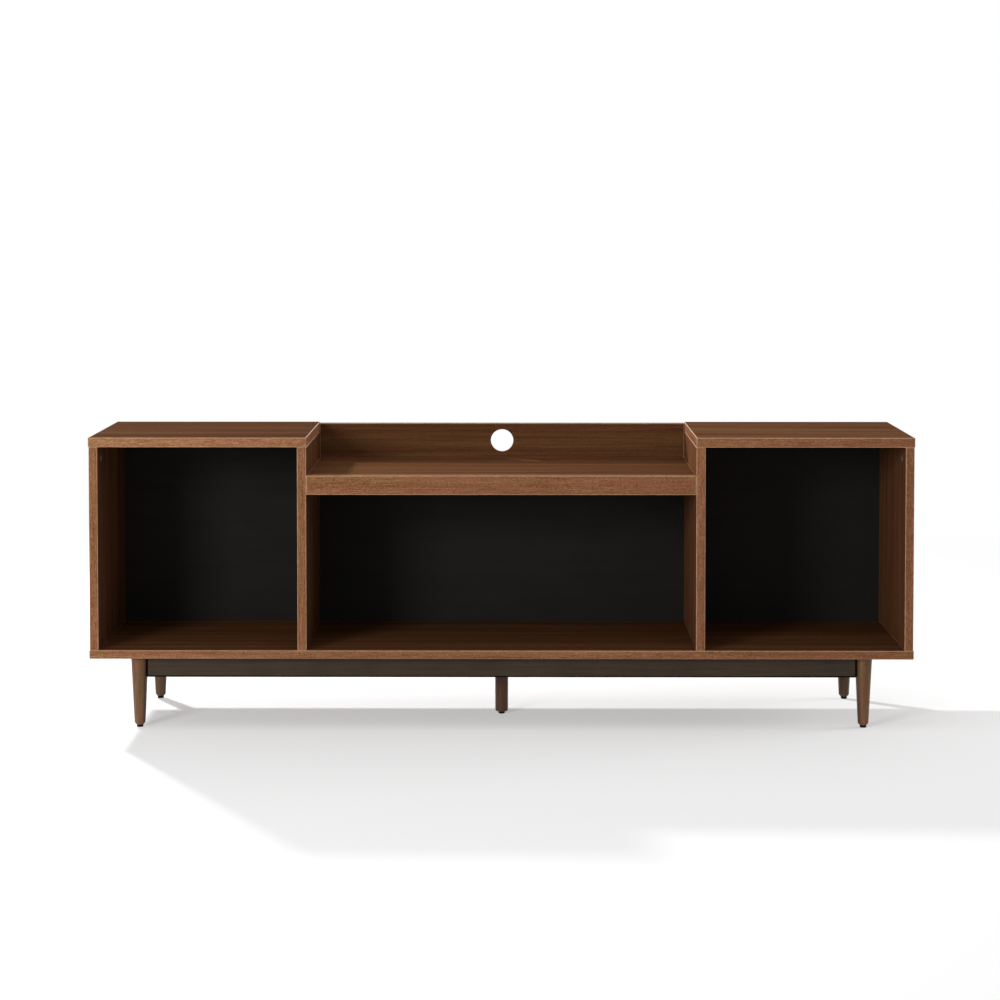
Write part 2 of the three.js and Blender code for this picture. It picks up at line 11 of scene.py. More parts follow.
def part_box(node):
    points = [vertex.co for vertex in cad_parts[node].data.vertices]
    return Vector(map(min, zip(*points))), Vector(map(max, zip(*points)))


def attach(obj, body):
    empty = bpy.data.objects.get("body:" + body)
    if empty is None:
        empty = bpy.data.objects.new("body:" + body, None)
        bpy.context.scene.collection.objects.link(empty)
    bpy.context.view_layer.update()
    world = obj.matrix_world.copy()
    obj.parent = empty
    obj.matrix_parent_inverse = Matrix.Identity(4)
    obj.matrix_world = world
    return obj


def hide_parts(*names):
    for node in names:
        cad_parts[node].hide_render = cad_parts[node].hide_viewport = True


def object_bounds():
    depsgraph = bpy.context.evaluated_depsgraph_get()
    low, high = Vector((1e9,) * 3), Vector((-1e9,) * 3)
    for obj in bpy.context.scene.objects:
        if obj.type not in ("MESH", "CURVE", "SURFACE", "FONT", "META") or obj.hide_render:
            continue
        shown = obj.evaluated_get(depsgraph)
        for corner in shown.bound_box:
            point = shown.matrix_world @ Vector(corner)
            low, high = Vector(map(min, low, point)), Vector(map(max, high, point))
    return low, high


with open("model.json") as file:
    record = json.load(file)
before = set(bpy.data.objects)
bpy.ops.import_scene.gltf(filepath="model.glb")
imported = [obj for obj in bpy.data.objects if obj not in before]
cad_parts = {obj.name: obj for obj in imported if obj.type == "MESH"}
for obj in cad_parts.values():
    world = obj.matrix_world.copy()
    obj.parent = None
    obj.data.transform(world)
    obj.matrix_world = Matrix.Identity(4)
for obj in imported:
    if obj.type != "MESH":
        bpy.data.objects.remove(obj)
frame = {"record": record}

cad_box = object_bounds()
scene = bpy.context.scene
scene.view_settings.view_transform = "Standard"


# Camera, near the middle line and above the tops, where the photograph was taken from. It looks a little
# down, and its shift brings the cabinet to the height it has in the picture.
look_down, turn_left = 0.0446, 0.0055
camera = bpy.data.objects.new("camera", bpy.data.cameras.new("camera"))
camera.location = (0.0268, -5.5306, 1.0944)
camera.rotation_euler = (math.pi / 2 - look_down, 0, turn_left)
camera.data.lens = 92.9
camera.data.shift_y = -0.18
scene.collection.objects.link(camera)
scene.camera = camera


# Bottom board. An 18 mm particle board, full width, faced with walnut veneer whose grain runs along it
# and edged with a lighter band. Everything else stands on it or hangs under it.
def paint(red, green, blue):
    """A colour written in the usual 0 to 255 steps, as the shader wants it."""
    steps = [step / 255 for step in (red, green, blue)]
    return (*(((step + 0.055) / 1.055) ** 2.4 if step > 0.04045 else step / 12.92 for step in steps), 1)


class Wire:
    """A socket of a material's nodes. A sum written with wires adds the nodes that work it out."""

    def __init__(self, tree, socket=None):
        self.tree = tree
        self.socket = socket

    def node(self, kind, settings, inputs, output=0):
        """Adds a node, and gives the wire of one of its outputs."""
        node = self.tree.nodes.new("ShaderNode" + kind)
        for setting, value in settings.items():
            if setting == "stops":
                points = node.color_ramp.elements
                while len(points) < len(value):
                    points.new(1)
                for point, (place, colour) in zip(points, value):
                    point.position = place
                    point.color = colour
            else:
                setattr(node, setting, value)
        for name, value in inputs.items():
            if isinstance(value, Wire):
                self.tree.links.new(value.socket, node.inputs[name])
            else:
                node.inputs[name].default_value = value
        return Wire(self.tree, node.outputs[output])

    def maths(self, operation, first, second):
        """An operation on two numbers, or on two vectors where this wire carries a vector or colour."""
        kind = "Math" if self.socket.type == "VALUE" else "VectorMath"
        return self.node(kind, {"operation": operation}, {0: first, 1: second})

    def alone(self, operation):
        """An operation on this wire's numbers alone, such as a sine."""
        return self.node("Math", {"operation": operation}, {0: self})

    def __add__(self, other):
        return self.maths("ADD", self, other)

    def __radd__(self, other):
        return self.maths("ADD", other, self)

    def __sub__(self, other):
        return self.maths("SUBTRACT", self, other)

    def __rsub__(self, other):
        return self.maths("SUBTRACT", other, self)

    def __mul__(self, other):
        return self.maths("MULTIPLY", self, other)

    def __rmul__(self, other):
        return self.maths("MULTIPLY", other, self)

    def __pow__(self, other):
        return self.maths("POWER", self, other)

    def __rpow__(self, other):
        return self.maths("POWER", other, self)

    def either(self, other):
        """The greater of two wires."""
        return self.maths("MAXIMUM", self, other)

    def dot(self, direction):
        """How far this place lies along a direction."""
        return self.node("VectorMath", {"operation": "DOT_PRODUCT"}, {0: self, 1: direction}, "Value")

    def above(self, threshold, softness):
        """0 below the threshold and 1 above it, over a soft step."""
        low, high = threshold - softness, threshold + softness
        return self.node("MapRange", {}, {"Value": self, "From Min": low, "From Max": high})

    def noise(self, scale, detail=2.0, output="Fac"):
        """Noise over a place, with as many cells a metre along each axis as the scale says."""
        return self.node("TexNoise", {}, {"Vector": self * scale, "Scale": 1.0, "Detail": detail}, output)

    def blend(self, first, second, way="MIX"):
        """This wire's mix of two colours."""
        return self.node("Mix", {"data_type": "RGBA", "blend_type": way}, {0: self, 6: first, 7: second}, 2)

    def bump(self, shader, strength, height):
        """Feeds this wire to the shader as fine relief."""
        relief = self.node("Bump", {}, {"Strength": strength, "Distance": height, "Height": self})
        relief.into(shader, "Normal")

    def into(self, shader, socket):
        """Links this wire to a socket of a shader."""
        self.tree.links.new(self.socket, shader.inputs[socket])


def finish(name, **levels):
    """A new material, the wire of the place on the cabinet, and its shader with fixed levels set."""
    material = bpy.data.materials.new(name)
    material.use_nodes = True
    tree = material.node_tree
    shader = tree.nodes["Principled BSDF"]
    for level, value in levels.items():
        shader.inputs[level.replace("_", " ")].default_value = value
    place = Wire(tree).node("TexCoord", {}, {}, "Object")
    return material, place, shader


def walnut(name, grain, dark, middle, light, figure, flecked):
    """Oiled walnut cut along the grain: tone bands, growth lines, streaks, short flecks and open pores."""
    material, place, shader = finish(name, Specular_IOR_Level=0.001)
    rings_per_metre = 90.0
    along = Vector(grain)
    across = Vector((1, 1, 1)) - along

    def stretched(length, width):
        """The noise scale of marks so long along the grain and so wide across it."""
        return tuple(along / length + across / width)

    drift = place.noise(stretched(0.6, 0.12), 2, "Color") - (0.5, 0.5, 0.5)
    place = place + drift * tuple(across * (0.014 - 0.008 * flecked))
    bands = place.noise(stretched(0.9, 0.030), 3)
    streaks = place.noise(stretched(0.35, 0.0045), 3)
    rings = (place.dot(tuple(across)) * rings_per_metre + bands * 5 + streaks).alone("FRACT")
    fibres = place.noise(stretched(0.05, 0.0009), 2)
    patches = place.noise(stretched(0.20, 0.016), 2)
    flecks = place.noise(stretched(0.016, 0.0014), 1).above(0.57, 0.07)
    speckle = place.noise(stretched(0.0048, 0.0020), 1)
    pores = place.noise(stretched(0.009, 0.0005), 1).above(0.62, 0.05)
    tone = 0.5 + (bands - 0.5) * figure + (streaks - 0.5) * (0.8 * figure)
    tone = tone - (rings ** 3 - 0.25) * (0.16 * figure)
    tone = tone + (fibres - 0.5) * (0.3 + 0.5 * flecked) + (patches - 0.5) * (0.3 * flecked)
    tone = tone + (speckle - 0.5) * (0.15 + 0.65 * flecked)
    wood = tone.node("ValToRGB", {"stops": [(0.1, dark), (0.5, middle), (0.9, light)]}, {"Fac": tone})
    green_brown, red_brown, pore_brown = paint(104, 77, 45), paint(124, 66, 44), paint(46, 27, 17)
    wood = (bands.above(0.55, 0.06) * 0.35).blend(wood, green_brown, "HUE")
    wood = ((patches * 0.5 + streaks * 0.5).above(0.53, 0.06) * 0.35).blend(wood, red_brown, "HUE")
    wood = (flecks * (0.25 * flecked)).blend(wood, dark)
    (pores * 0.30).blend(wood, pore_brown).into(shader, "Base Color")
    (0.6 - (flecks - 0.5) * 0.1 + pores * 0.15).into(shader, "Roughness")
    (fibres * 0.35 + streaks * 0.2 - flecks * 0.2 - pores * 0.8).bump(shader, 0.25, 0.00012)
    return material


def arris_finish(name, deep, worn, shine):
    """The rounded-over band, with its own shine: two tones mixed in patches, painted paler than the band as a
    highlight or darker as shade.
    """
    material, place, shader = finish(name, Specular_IOR_Level=shine)
    # Both tones are painted light or painted shade; the wear noise only mixes them in patches.
    wear = place.noise((60, 60, 60), 3)
    grit = place.noise((700, 700, 700), 2)
    (wear * 0.7 + grit * 0.3).above(0.5, 0.2).blend(deep, worn).into(shader, "Base Color")
    (0.32 + (grit - 0.5) * 0.3).into(shader, "Roughness")
    grit.bump(shader, 0.2, 0.0001)
    return material


def particle_board():
    """The raw core that shows only in bores and grooves: pressed chips, pale and dark."""
    material, place, shader = finish("particle_board_core", Roughness=0.85)
    chips = place.node("TexVoronoi", {}, {"Vector": place, "Scale": 520.0}, "Color")
    grit = place.noise((900, 900, 900), 3)
    colour = grit.blend(paint(150, 118, 80), paint(190, 160, 118))
    (chips.dot((0.33, 0.33, 0.33)) * 0.4).blend(colour, paint(112, 82, 54)).into(shader, "Base Color")
    grit.bump(shader, 0.6, 0.0004)
    return material


X, Y, Z = (1, 0, 0), (0, 1, 0), (0, 0, 1)


def edge_bands(name, dark, middle, light):
    """Edge bands of one tone, with their grain along each of the cabinet's three directions."""
    return [
        walnut(f"{name}_along_{letter}", grain, dark, middle, light, figure=0.4, flecked=1.0)
        for letter, grain in (("x", X), ("y", Y), ("z", Z))
    ]


face_tones = paint(72, 44, 27), paint(104, 68, 43), paint(134, 93, 63)
face_x = walnut("walnut_face_along_x", X, *face_tones, figure=0.8, flecked=0.25)
bands = edge_bands("walnut_band", paint(98, 58, 38), paint(150, 102, 70), paint(190, 140, 102))
# A paler finish on most arrises is a painted highlight.
highlit_arris = arris_finish("walnut_rubbed_arris", paint(158, 114, 82), paint(214, 170, 130), shine=0.45)
# A dark finish on the arrises at the ends, the back and the underside is painted shade.
shaded_outer_arris = arris_finish("walnut_outer_arris", paint(46, 28, 18), paint(72, 46, 30), shine=0.05)
core = particle_board()


def made(name, shape, *materials):
    """A mesh object from a modelled shape, with every face turned outwards."""
    bmesh.ops.recalc_face_normals(shape, faces=shape.faces)
    mesh = bpy.data.meshes.new(name)
    shape.to_mesh(mesh)
    shape.free()
    for material in materials:
        mesh.materials.append(material)
    piece = bpy.data.objects.new(name, mesh)
    scene.collection.objects.link(piece)
    return piece


def cut(piece, cutters):
    """Cuts shapes out of a piece; the cut faces show what the cutters are made of."""
    for cutter in cutters:
        change = piece.modifiers.new("cut", "BOOLEAN")
        change.operation = "DIFFERENCE"
        change.solver = "EXACT"
        change.material_mode = "TRANSFER"
        change.object = cutter
    bpy.context.view_layer.update()
    whole = piece.evaluated_get(bpy.context.evaluated_depsgraph_get())
    mesh = bpy.data.meshes.new_from_object(whole)
    piece.modifiers.clear()
    piece.data = mesh
    for cutter in cutters:
        bpy.data.objects.remove(cutter)
    return piece


def fitted(piece, slot, *nodes, body="cabinet"):
    """Shades a finished piece smooth but for real corners, and puts it on its body in place of its nodes."""
    real_corner = math.radians(35)
    piece.data.shade_smooth()
    piece.data.set_sharp_from_angle(angle=real_corner)
    normals = piece.modifiers.new("flat faces stay flat", "WEIGHTED_NORMAL")
    normals.keep_sharp = True
    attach(piece, body)
    if nodes:
        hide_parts(*nodes)


def boxed(low, high):
    """A plain box between two corners, to be rounded over or to cut with."""
    shape = bmesh.new()
    size = Vector(high) - Vector(low)
    place = Matrix.Translation((Vector(low) + Vector(high)) / 2) @ Matrix.Diagonal((*size, 1))
    bmesh.ops.create_cube(shape, size=1, matrix=place)
    return shape


def box_cutter(low, high, material=core):
    """A plain box to cut with."""
    return made("cutter", boxed(low, high), material)


def polar(radius, turn):
    """The place at a radius and an angle round Z."""
    return radius * math.cos(turn), radius * math.sin(turn)


def wall(shape, lower, upper):
    """The faces between two rings of corners, of which one may be a single point on the axis."""
    sides = max(len(lower), len(upper))
    for step in range(sides):
        ahead = (step + 1) % sides
        around = [lower[step % len(lower)], lower[ahead % len(lower)]]
        around += [upper[ahead % len(upper)], upper[step % len(upper)]]
        shape.faces.new(dict.fromkeys(around))


def turned(profile, sides=48, hollow=False):
    """A solid turned round Z from (radius, height) pairs, from one end of the axis to the other."""
    shape = bmesh.new()
    turns = [math.tau * step / sides for step in range(sides)]
    rings = []
    for radius, height in profile:
        around = turns if radius > 0 else [0]
        rings.append([shape.verts.new((*polar(radius, turn), height)) for turn in around])
    if hollow:
        rings.append(rings[0])
    for lower, upper in zip(rings, rings[1:]):
        wall(shape, lower, upper)
    return shape


def moved(shape, matrix):
    """A shape, carried to its place."""
    bmesh.ops.transform(shape, matrix=matrix, verts=shape.verts)
    return shape


bottom_low, bottom_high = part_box("bottom_board")


def at_the_outside(side):
    """Whether part of an arris is at an end, the back or the underside, where dark painted shade goes on it.
    """
    within, leaning = 0.002, 0.2
    middle = side.calc_center_median()
    ends = abs(middle.x) > cad_box[1][0] - within and abs(side.normal.x) > leaning
    back = middle.y > cad_box[1][1] - within and side.normal.y > leaning
    under = middle.z < bottom_low.z + within and side.normal.z < -leaning
    return ends or back or under


BAND_THICK = 0.0014
SQUARE = 0.999  # how far along an axis the normal of a flat side points
board_edges = (*bands, highlit_arris, shaded_outer_arris)


def eased_board(name, low, high, face, edges=board_edges, arris=0.0013, in_painted_shade=at_the_outside):
    """A board with rounded arrises, and on its broad sides the thin line where the edge band meets the face.

    The edges are the finishes of the edges along X, Y and Z, of the arrises, and of the arrises with painted
    shade.
    """
    shape = boxed(low, high)
    bmesh.ops.bevel(shape, geom=shape.edges[:], offset=arris, segments=4, profile=0.5, affect="EDGES")
    size = high - low
    thin = min(range(3), key=lambda axis: size[axis])
    broad = [side for side in shape.faces if abs(side.normal[thin]) > SQUARE]
    bmesh.ops.inset_individual(shape, faces=broad, thickness=BAND_THICK)
    for side in shape.faces:
        spans = [[corner.co[axis] for corner in side.verts] for axis in range(3)]
        reach = [max(span) - min(span) for span in spans]
        if side in broad:
            side.material_index = 0
        elif max(abs(way) for way in side.normal) > SQUARE:
            side.material_index = 1 + reach.index(max(reach))
        else:
            # Arrises picked out here take the dark finish, painted shade.
            side.material_index = 5 if in_painted_shade(side) else 4
    return made(name, shape, face, *edges)


back_names = ("left_bay_back", "middle_bay_back", "right_bay_back")
thin_backs = [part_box(name) for name in back_names]
PLAY = 0.0003  # round whatever stands in a groove or bore
PAST = 0.002  # how far a cutter goes on past the wood
play_all_round, past_all_round = Vector((PLAY, PLAY, PLAY)), Vector((PAST, PAST, PAST))


def groove_cutters(low, high):
    """The grooves that the thin backs stand in, where they reach into a board."""
    reached = []
    for back_low, back_high in thin_backs:
        if all(back_low[axis] < high[axis] and back_high[axis] > low[axis] for axis in range(3)):
            reached.append(box_cutter(back_low - play_all_round, back_high + play_all_round))
    return reached


SCREW_SHANK, SCREW_HEAD = 0.0034, 0.0048  # radii
SCREW_SPACING = 0.15
uprights = ["left_side_panel", "left_divider", "right_divider", "right_side_panel"]


def screw_places(upright):
    """Where the three screws under an upright come up through the bottom board."""
    low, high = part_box(upright)
    middle = (low + high) / 2
    spacing = (-SCREW_SPACING, 0, SCREW_SPACING)
    return [Vector((middle.x, middle.y + along, bottom_low.z)) for along in spacing]


def countersunk_bore(place):
    """A clearance bore up through the bottom board, opened in a cone for the screw's head."""
    wide, clear, through = SCREW_HEAD + PLAY, SCREW_SHANK + PLAY, 0.02
    shape = turned([
        (0, -PAST), (wide, -PAST), (wide, PLAY), (clear, PLAY + wide - clear), (clear, through), (0, through),
    ], sides=32)
    return made("cutter", moved(shape, Matrix.Translation(place)), core)


bottom = eased_board("finished_bottom_board", bottom_low, bottom_high, face_x)
bores = [countersunk_bore(place) for upright in uprights for place in screw_places(upright)]
cut(bottom, [*groove_cutters(bottom_low, bottom_high), *bores])
fitted(bottom, "walnut_board", "bottom_board")


# Side panels and dividers, four uprights of veneered board with upright grain. Each is bored in one face
# for two cam locks and in its top edge for their bolts, and grooved for the thin backs.
upright_tones = paint(76, 47, 29), paint(108, 71, 46), paint(140, 99, 69)
face_z = walnut("walnut_face_upright", Z, *upright_tones, figure=0.8, flecked=0.35)
SCREW_PILOT = 0.034


def round_cutter(start, end, radius, material=core, sides=40):
    """A round bar between two points, to bore with."""
    way = Vector(end) - Vector(start)
    shape = bmesh.new()
    turn = way.to_track_quat("Z", "Y").to_matrix().to_4x4()
    bmesh.ops.create_cone(
        shape, cap_ends=True, segments=sides, radius1=radius, radius2=radius, depth=way.length,
        matrix=Matrix.Translation((Vector(start) + Vector(end)) / 2) @ turn,
    )
    return made("cutter", shape, material)


def lock_names(upright):
    """The two cam locks of an upright."""
    stem = upright.replace("_panel", "")
    return [f"{stem}_front_cam", f"{stem}_back_cam"]


def opens_to_right(low, high, drum_low, drum_high):
    """Whether a drum is let into its upright from the right."""
    return high.x - drum_high.x < drum_low.x - low.x


def lock_bores(low, high, upright):
    """Bores for the drums, from the face they are let into, and for the bolts that come down to them."""
    bores = []
    for name in lock_names(upright):
        drum_low, drum_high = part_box(name)
        bolt_low, bolt_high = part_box(name + "_bolt")
        middle = (drum_low + drum_high) / 2
        radius = (drum_high.z - drum_low.z) / 2 + PLAY
        if opens_to_right(low, high, drum_low, drum_high):
            start, end = drum_low.x - PLAY, high.x + PAST
        else:
            start, end = low.x - PAST, drum_high.x + PLAY
        bores.append(round_cutter((start, middle.y, middle.z), (end, middle.y, middle.z), radius))
        bolt = (bolt_low + bolt_high) / 2
        bore = (bolt_high.x - bolt_low.x) / 2 + PLAY
        bores.append(round_cutter((bolt.x, bolt.y, middle.z), (bolt.x, bolt.y, high.z + PAST), bore))
    return bores


for name in uprights:
    low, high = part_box(name)
    upright = eased_board("finished_" + name, low, high, face_z)
    bores = lock_bores(low, high, name)
    for place in screw_places(name):
        foot, end = (place.x, place.y, low.z - PAST), (place.x, place.y, low.z + SCREW_PILOT)
        bores.append(round_cutter(foot, end, SCREW_SHANK + PLAY, sides=24))
    cut(upright, [*groove_cutters(low, high), *bores])
    fitted(upright, "walnut_board", name)


# Cam locks. A zinc drum let into each upright turns on a screwdriver's cross, and its winding track draws
# down the head of a steel bolt that is screwed up into the top.
def metal(name, dark, light, roughness, cast):
    """Bare or plated metal: fine cast or rolled relief with slightly uneven sheen."""
    material, place, shader = finish(name, Metallic=1.0)
    cloud = place.noise((90, 90, 90), 3)
    grit = place.noise((1400, 1400, 1400), 2)
    (cloud * 0.7 + grit * 0.3).blend(dark, light).into(shader, "Base Color")
    (roughness + (cloud - 0.5) * 0.3 + (grit - 0.5) * 0.2).into(shader, "Roughness")
    grit.bump(shader, cast, 0.00008)
    return material


cast_zinc = metal("cast_zinc", paint(150, 151, 153), paint(205, 206, 208), roughness=0.42, cast=0.5)
plated_steel = metal("plated_steel", paint(160, 164, 170), paint(212, 215, 220), roughness=0.3, cast=0.2)


def prism(outline, low, high):
    """A flat outline raised from one level to another."""
    shape = bmesh.new()
    floor = [shape.verts.new((x, y, low)) for x, y in outline]
    ceiling = [shape.verts.new((x, y, high)) for x, y in outline]
    shape.faces.new(floor)
    shape.faces.new(ceiling)
    wall(shape, floor, ceiling)
    return shape


def sector(inner, outer, start, end, steps=24):
    """The outline between two radii and two angles, in degrees."""
    turns = [math.radians(start + (end - start) * step / steps) for step in range(steps + 1)]
    return [polar(outer, turn) for turn in turns] + [polar(inner, turn) for turn in reversed(turns)]


def threaded(crest, low, high, depth, pitch, sides=24, cuts=8):
    """A threaded rod along Z: its surface dips once a pitch, a little later with each step round."""
    steps = max(2, round((high - low) / pitch * cuts))
    shape = bmesh.new()
    rings = []
    for rise in range(steps + 1):
        height = low + (high - low) * rise / steps
        fade = min(1, (high - height) / pitch)
        ring = []
        for step in range(sides):
            share = (height / pitch - step / sides) % 1
            radius = crest - depth * abs(2 * share - 1) - depth * (1 - fade)
            ring.append(shape.verts.new((*polar(radius, math.tau * step / sides), height)))
        rings.append(ring)
    for lower, upper in zip(rings, rings[1:]):
        wall(shape, lower, upper)
    shape.faces.new(rings[0])
    shape.faces.new(rings[-1])
    return shape


def cross_cutters(arm, half, low, high, material):
    """The two slots of a screwdriver's cross: how far and how wide they reach from its middle."""
    return [
        box_cutter((-arm, -half, low), (arm, half, high), material),
        box_cutter((-half, -arm, low), (half, arm, high), material),
    ]


def joined(shapes):
    """Several shapes as one, each still closed by itself."""
    whole = bmesh.new()
    for shape in shapes:
        part = bpy.data.meshes.new("part")
        shape.to_mesh(part)
        shape.free()
        whole.from_mesh(part)
        bpy.data.meshes.remove(part)
    return whole


DRUM_CORE, DRUM_WALL = 0.0026, 0.0014
BOLT_HEAD, BOLT_NECK = 0.0032, 0.00175  # radii


def cam_drum(radius, depth, bolt_level):
    """A drum with its face at z = 0: chamfered rim, sunk ring, cross, arrow, and the track behind."""
    rim, sink = 0.0004, 0.0003
    ring_low, ring_high = radius * 0.60, radius * 0.84
    drum = made("drum", turned([
        (0, -depth), (radius - rim, -depth), (radius, rim - depth), (radius, -rim), (radius - rim, 0),
        (ring_high, 0), (ring_high - sink, -sink), (ring_low + sink, -sink), (ring_low, 0), (0, 0),
    ]), cast_zinc)
    # In degrees round the drum: the bolt stands at 90 when locked, and comes in at the entry. The cuts for
    # its head and neck start a little past the entry's middle, so that no two cuts share a line.
    locked, turned_by = 90, 165
    entry = locked - turned_by
    seat = radius - DRUM_WALL
    head, neck = BOLT_HEAD + PLAY, BOLT_NECK + PLAY
    track_start, track_end = entry + 4, locked + math.degrees(math.atan2(head, DRUM_CORE + PLAY))
    slot_start, slot_end = entry + 8, locked + math.degrees(math.atan2(neck, seat))
    track_outline = sector(DRUM_CORE, seat, track_start, track_end)
    slot_outline = sector(DRUM_CORE + 2 * PLAY, radius + PAST, slot_start, slot_end)
    way = Vector((*polar(1, math.radians(entry)), 0))
    level = Vector((0, 0, bolt_level))
    entry_start, entry_end = level + way * (DRUM_CORE + PLAY), level + way * (radius + PAST)
    tip, foot, wide = radius * 0.97, radius * 0.86, 0.0009
    return cut(drum, [
        made("cutter", prism(track_outline, bolt_level - head, bolt_level + head), cast_zinc),
        made("cutter", prism(slot_outline, bolt_level - neck, bolt_level + neck), cast_zinc),
        round_cutter(entry_start, entry_end, head, cast_zinc),
        *cross_cutters(arm=0.0035, half=0.0007, low=-0.0026, high=PAST, material=cast_zinc),
        made("cutter", prism([(0, tip), (wide, foot), (-wide, foot)], -sink, PAST), cast_zinc),
    ])


def cam_bolt(drum_radius, shank_end, top):
    """The bolt along Z over the drum's axis: conical head, neck, shank, collar and a wood thread."""
    head_foot = DRUM_CORE + PLAY
    edge, step = 0.0005, 0.002
    shank, collar, thread = 0.003, 0.0036, 0.0025
    turning = turned([
        (0, head_foot), (BOLT_HEAD - edge, head_foot), (BOLT_HEAD, head_foot + edge),
        (BOLT_NECK, drum_radius - DRUM_WALL - PLAY), (BOLT_NECK, drum_radius + edge),
        (shank, drum_radius + step), (shank, shank_end - step), (collar, shank_end - step),
        (collar, shank_end), (thread - edge, shank_end), (0, shank_end),
    ], sides=32)
    return joined([turning, threaded(thread, shank_end, top, depth=0.0006, pitch=0.0022)])


for name in uprights:
    low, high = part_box(name)
    for lock in lock_names(name):
        drum_low, drum_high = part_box(lock)
        bolt_low, bolt_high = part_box(lock + "_bolt")
        rightwards = opens_to_right(low, high, drum_low, drum_high)
        out, up = Vector((1 if rightwards else -1, 0, 0)), Vector(Z)
        radius = (drum_high.z - drum_low.z) / 2
        face = drum_high.x if rightwards else drum_low.x
        axis = Vector((face, (drum_low.y + drum_high.y) / 2, drum_low.z + radius))
        bolt_x = (bolt_low.x + bolt_high.x) / 2
        drum = cam_drum(radius, drum_high.x - drum_low.x, -abs(axis.x - bolt_x))
        basis = Matrix((up.cross(out), up, out)).transposed().to_4x4()
        drum.data.transform(Matrix.Translation(axis) @ basis)
        drum.name = "finished_" + lock
        fitted(drum, "cam_zinc", lock)
        bolt = cam_bolt(radius, high.z - axis.z, bolt_high.z - axis.z)
        moved(bolt, Matrix.Translation((bolt_x, axis.y, axis.z)))
        fitted(made(f"finished_{lock}_bolt", bolt, plated_steel), "plated_steel", f"{lock}_bolt")


# Tops of the end bays, 20 mm boards with their grain along the cabinet, banded all round, that stop at the
# sunken deck. They are held down by the cam bolts and grooved underneath for the thin backs.
# The left top's edge bands are painted paler than the right's, painted light matching stronger light from the
# left; its face is painted darker than the right top's, painted shade offsetting that light.
top_bands = {
    "left": edge_bands("walnut_pale_band", paint(114, 71, 48), paint(170, 119, 85), paint(210, 159, 119)),
    "right": bands,
}
top_tones = {
    "left": (paint(66, 40, 24), paint(96, 62, 39), paint(124, 85, 57)),
    "right": (paint(76, 47, 29), paint(110, 73, 47), paint(142, 99, 68)),
}
CAM_BOLT_BORE = 0.0028
for side in ("left", "right"):
    low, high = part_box(side + "_top")
    holes = []
    for upright in (side + "_side_panel", side + "_divider"):
        for lock in lock_names(upright):
            bolt_low, bolt_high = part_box(lock + "_bolt")
            x, y = (bolt_low.x + bolt_high.x) / 2, (bolt_low.y + bolt_high.y) / 2
            holes.append(round_cutter((x, y, low.z - PAST), (x, y, bolt_high.z + PLAY), CAM_BOLT_BORE))
    face = walnut(f"walnut_{side}_top", X, *top_tones[side], figure=0.9, flecked=0.3)
    edges = (*top_bands[side], highlit_arris, shaded_outer_arris)
    top = eased_board(f"finished_{side}_top", low, high, face, edges)
    cut(top, [*groove_cutters(low, high), *holes])
    fitted(top, "walnut_board", side + "_top")


# Sunken deck: a panel between the dividers, a deeper rail glued along its front edge, and the
# walnut board behind the well, which stands in a rebate of the panel and has a round outlet for cables.
SEAT = 0.0002  # the joint line between two boards
rail_low, rail_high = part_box("deck_front_rail")
deck_low, deck_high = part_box("deck_panel")
well_low, well_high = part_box("well_back_board")
deck = eased_board("finished_deck_panel", deck_low, deck_high, face_x)
rebate_low = Vector((deck_low.x - PAST, well_low.y - SEAT, well_low.z - SEAT))
rebate = box_cutter(rebate_low, deck_high + past_all_round)
cut(deck, [*groove_cutters(deck_low, deck_high), rebate])
fitted(deck, "walnut_board", "deck_panel")
deck_rail = eased_board("finished_deck_front_rail", rail_low, rail_high, bands[0])
fitted(deck_rail, "walnut_board", "deck_front_rail")

outlet = next(o for o in frame["record"]["physics"]["openings"] if o["name"] == "cable_outlet")
outlet_level = (outlet["box_m"][0][2] + outlet["box_m"][1][2]) / 2
OUTLET_RADIUS = 0.025
well_back = eased_board("finished_well_back_board", well_low, well_high, face_x)
start, end = (0, well_low.y - PAST, outlet_level), (0, well_high.y + PAST, outlet_level)
cut(well_back, [round_cutter(start, end, OUTLET_RADIUS, bands[1], sides=64)])
fitted(well_back, "walnut_board", "well_back_board")


# Thin backs, 3 mm hardboard that stands in the grooves all round. The side towards the bays is painted
# matt black, and the back keeps its bare brown fibres with the print of the press's screen.
def hardboard(name, base, other, strength, height, screened):
    """Pressed fibres in two tones, with clouds and level smears, and the screen's mesh where it has one."""
    material, place, shader = finish(name, Roughness=0.8, Specular_IOR_Level=0.25)
    fibres = place.noise((240, 240, 700), 4)
    specks = place.noise((1100, 1100, 1100), 2)
    clouds = place.noise((9, 9, 14), 4)
    smears = place.noise((2.5, 2.5, 60), 3)
    mottle = (clouds - 0.5) * 1.1 + (smears - 0.5) * 0.7
    relief = fibres * 0.6 + specks * 0.4
    (relief + mottle).blend(base, other).into(shader, "Base Color")
    if screened:
        mesh_pitch = 0.0016
        weft = (place.dot(X) * (math.tau / mesh_pitch)).alone("SINE")
        warp = (place.dot(Z) * (math.tau / mesh_pitch)).alone("SINE")
        relief = relief + weft * warp * 0.5
    relief.bump(shader, strength, height)
    return material


black, brown = (paint(20, 19, 18), paint(33, 31, 29)), (paint(84, 58, 38), paint(118, 86, 58))
black_face = hardboard("hardboard_painted_black", *black, strength=0.25, height=0.0002, screened=False)
brown_face = hardboard("hardboard_bare_back", *brown, strength=0.5, height=0.0003, screened=True)
for name in back_names:
    shape = boxed(*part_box(name))
    bmesh.ops.bevel(shape, geom=shape.edges[:], offset=0.0003, segments=2, profile=0.5, affect="EDGES")
    for side in shape.faces:
        side.material_index = 0 if side.normal.y < -0.3 else 1
    fitted(made("finished_" + name, shape, black_face, brown_face), "hardboard", name)


